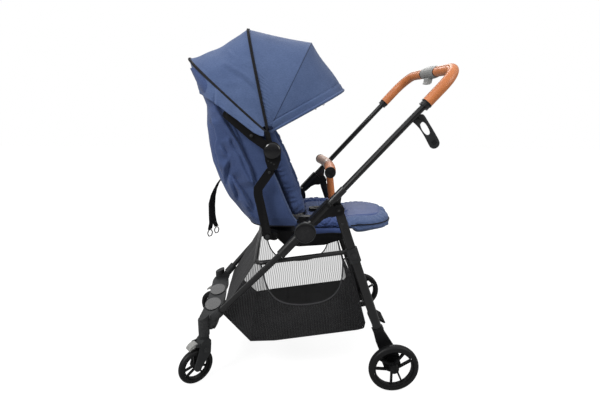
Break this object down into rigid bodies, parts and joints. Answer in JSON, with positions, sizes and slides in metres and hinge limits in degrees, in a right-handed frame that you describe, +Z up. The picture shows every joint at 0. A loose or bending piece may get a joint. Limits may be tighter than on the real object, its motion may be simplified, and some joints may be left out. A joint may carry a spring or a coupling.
{
  "type": "baby stroller",
  "caption": "Folding baby stroller with a reclining, folding-canopy seat on a tube frame, push handle, cloth basket, swivelling front castors and larger rear wheels.",
  "frame": {"origin": "on the floor, under the middle of the stroller", "axes": "+X towards the push handle (the child faces +X and the stroller rolls towards -X), +Y to the stroller's right, +Z up"},
  "size_m": [0.9058, 0.6, 1.1906],
  "materials": {
    "black_tube": "satin black coating",
    "black_plastic": "fine grained black",
    "gloss_black": "gloss black",
    "charcoal_plastic": "charcoal, fine grained",
    "grey_plastic": "mid grey, fine grained",
    "tyre": "smooth foam tyre",
    "tan_leather": "smooth tan-orange leather, stitched",
    "denim_cloth": "heathered denim-blue woven polyester",
    "basket_cloth": "black cloth and fine mesh",
    "webbing": "black woven webbing"
  },
  "bodies": {
    "chassis": {"mid_tube_left": "black_tube", "mid_tube_right": "black_tube", "front_tube_left": "black_tube", "front_tube_right": "black_tube", "fold_bracket_left": "black_plastic", "fold_bracket_right": "black_plastic", "hub_left": "gloss_black", "hub_right": "gloss_black", "castor_housing_left": "charcoal_plastic", "castor_housing_right": "charcoal_plastic", "footrest": "charcoal_plastic", "basket": "basket_cloth"},
    "handle": {"handle_bar": "black_tube", "handle_grip_left": "tan_leather", "handle_grip_right": "tan_leather", "release_housing": "grey_plastic"},
    "trigger": {"fold_trigger": "grey_plastic"},
    "travel_strap": {"travel_strap": "charcoal_plastic"},
    "rear_legs": {"rear_leg_left": "black_tube", "rear_leg_right": "black_tube", "axle_beam": "black_plastic"},
    "brake_pedal": {"brake_pedal": "black_plastic"},
    "leg_sliders": {"leg_slider_left": "charcoal_plastic", "leg_slider_right": "charcoal_plastic"},
    "side_rail": {"side_rail": "black_tube"},
    "rear_wheel_left": {"rear_tyre_left": "tyre", "rear_rim_left": "black_plastic"},
    "rear_wheel_right": {"rear_tyre_right": "tyre", "rear_rim_right": "black_plastic"},
    "castor_left": {"castor_fork_left": "charcoal_plastic"},
    "castor_wheel_left": {"castor_tyre_left": "tyre", "castor_rim_left": "black_plastic"},
    "swivel_lock_left": {"swivel_lock_left": "grey_plastic"},
    "castor_right": {"castor_fork_right": "charcoal_plastic"},
    "castor_wheel_right": {"castor_tyre_right": "tyre", "castor_rim_right": "black_plastic"},
    "swivel_lock_right": {"swivel_lock_right": "grey_plastic"},
    "seat": {"seat_tray": "black_plastic", "seat_cushion": "denim_cloth", "harness_buckle": "black_plastic"},
    "leg_rest": {"leg_rest": "denim_cloth"},
    "bumper": {"bumper_post": "tan_leather", "bumper_bar": "tan_leather"},
    "backrest": {"side_arm_left": "black_plastic", "side_arm_right": "black_plastic", "back_pad": "denim_cloth", "back_shell": "denim_cloth", "harness_straps": "webbing", "canopy_bow_rear": "black_plastic", "canopy_rear_panel": "denim_cloth", "tether_strap_left": "webbing", "tether_strap_right": "webbing", "tether_ring_left": "black_plastic", "tether_ring_right": "black_plastic"},
    "canopy_main": {"canopy_bow_main": "black_plastic", "canopy_front_panel": "denim_cloth"},
    "canopy_front": {"canopy_bow_front": "black_plastic", "canopy_visor": "denim_cloth"},
    "canopy_visor": {"canopy_bow_tip": "denim_cloth"}
  },
  "joints": [
    {"name": "handle_fold", "type": "hinge", "parent": "chassis", "child": "handle", "pos_m": [0.08529, 0, 0.631], "axis": [0, 1, 0], "range_deg": [0, 100]},
    {"name": "rear_leg_fold", "type": "hinge", "parent": "chassis", "child": "rear_legs", "pos_m": [0.08529, 0, 0.631], "axis": [0, 1, 0], "range_deg": [0, 28.18]},
    {"name": "side_rail_fold", "type": "hinge", "parent": "chassis", "child": "side_rail", "pos_m": [-0.12824, 0, 0.44537], "axis": [0, 1, 0], "range_deg": [0, 62.94]},
    {"name": "leg_slider_slide", "type": "slide", "parent": "rear_legs", "child": "leg_sliders", "axis": [0.3355, 0, -0.9421], "range_m": [0, 0.2522]},
    {"name": "rear_wheel_left_spin", "type": "hinge", "parent": "rear_legs", "child": "rear_wheel_left", "pos_m": [0.28729, -0.287, 0.0855], "axis": [0, 1, 0], "continuous": true},
    {"name": "rear_wheel_right_spin", "type": "hinge", "parent": "rear_legs", "child": "rear_wheel_right", "pos_m": [0.28729, 0.287, 0.0855], "axis": [0, 1, 0], "continuous": true},
    {"name": "castor_left_swivel", "type": "hinge", "parent": "chassis", "child": "castor_left", "pos_m": [-0.35971, -0.199, 0.2], "axis": [0, 0, 1], "continuous": true},
    {"name": "castor_wheel_left_spin", "type": "hinge", "parent": "castor_left", "child": "castor_wheel_left", "pos_m": [-0.38926, -0.22209, 0.063], "axis": [-0.6157, 0.788, 0], "continuous": true},
    {"name": "swivel_lock_left_lift", "type": "hinge", "parent": "castor_left", "child": "swivel_lock_left", "pos_m": [-0.38729, -0.22055, 0.146], "axis": [-0.6157, 0.788, 0], "range_deg": [0, 22]},
    {"name": "castor_right_swivel", "type": "hinge", "parent": "chassis", "child": "castor_right", "pos_m": [-0.35971, 0.199, 0.2], "axis": [0, 0, 1], "continuous": true},
    {"name": "castor_wheel_right_spin", "type": "hinge", "parent": "castor_right", "child": "castor_wheel_right", "pos_m": [-0.39397, 0.21425, 0.063], "axis": [0.4067, 0.9135, 0], "continuous": true},
    {"name": "swivel_lock_right_lift", "type": "hinge", "parent": "castor_right", "child": "swivel_lock_right", "pos_m": [-0.39169, 0.21324, 0.146], "axis": [0.4067, 0.9135, 0], "range_deg": [0, 22]},
    {"name": "brake_pedal_press", "type": "hinge", "parent": "rear_legs", "child": "brake_pedal", "pos_m": [0.27729, 0, 0.1125], "axis": [0, 1, 0], "range_deg": [0, 22]},
    {"name": "fold_trigger_pull", "type": "slide", "parent": "handle", "child": "trigger", "axis": [0, 0, 1], "range_m": [0, 0.005], "stiffness_N_per_m": 400},
    {"name": "travel_strap_swing", "type": "hinge", "parent": "handle", "child": "travel_strap", "pos_m": [0.32388, -0.249, 0.9155], "axis": [0, 1, 0], "range_deg": [-50, 25]},
    {"name": "seat_lift_off", "type": "slide", "parent": "chassis", "child": "seat", "axis": [0, 0, 1], "range_m": [0, 0.15]},
    {"name": "leg_rest_lower", "type": "hinge", "parent": "seat", "child": "leg_rest", "pos_m": [0.13229, 0, 0.52], "axis": [0, 1, 0], "range_deg": [0, 70]},
    {"name": "bumper_lift_off", "type": "slide", "parent": "seat", "child": "bumper", "axis": [-0.13, 0, 0.9915], "range_m": [0, 0.09]},
    {"name": "backrest_recline", "type": "hinge", "parent": "seat", "child": "backrest", "pos_m": [-0.13771, 0, 0.528], "axis": [0, -1, 0], "range_deg": [0, 40]},
    {"name": "canopy_main_fold", "type": "hinge", "parent": "backrest", "child": "canopy_main", "pos_m": [-0.13571, 0, 0.86], "axis": [0, -1, 0], "range_deg": [0, 30], "deforming": ["canopy_rear_panel"]},
    {"name": "canopy_front_fold", "type": "hinge", "parent": "canopy_main", "child": "canopy_front", "pos_m": [-0.13571, 0, 0.86], "axis": [0, -1, 0], "range_deg": [0, 30.01], "deforming": ["canopy_front_panel"]},
    {"name": "canopy_visor_fold", "type": "hinge", "parent": "canopy_front", "child": "canopy_visor", "pos_m": [-0.13571, 0, 0.86], "axis": [0, -1, 0], "range_deg": [0, 30.01], "deforming": ["canopy_visor"]}
  ],
  "couplings": [
    {"joint": "rear_leg_fold", "follows": "handle_fold", "ratio": 0.28168},
    {"joint": "side_rail_fold", "follows": "handle_fold", "ratio": 0.62927},
    {"joint": "leg_slider_slide", "follows": "handle_fold", "m_per_rad": 0.14439},
    {"joint": "canopy_front_fold", "follows": "canopy_main_fold", "ratio": 1},
    {"joint": "canopy_visor_fold", "follows": "canopy_main_fold", "ratio": 1}
  ]
}
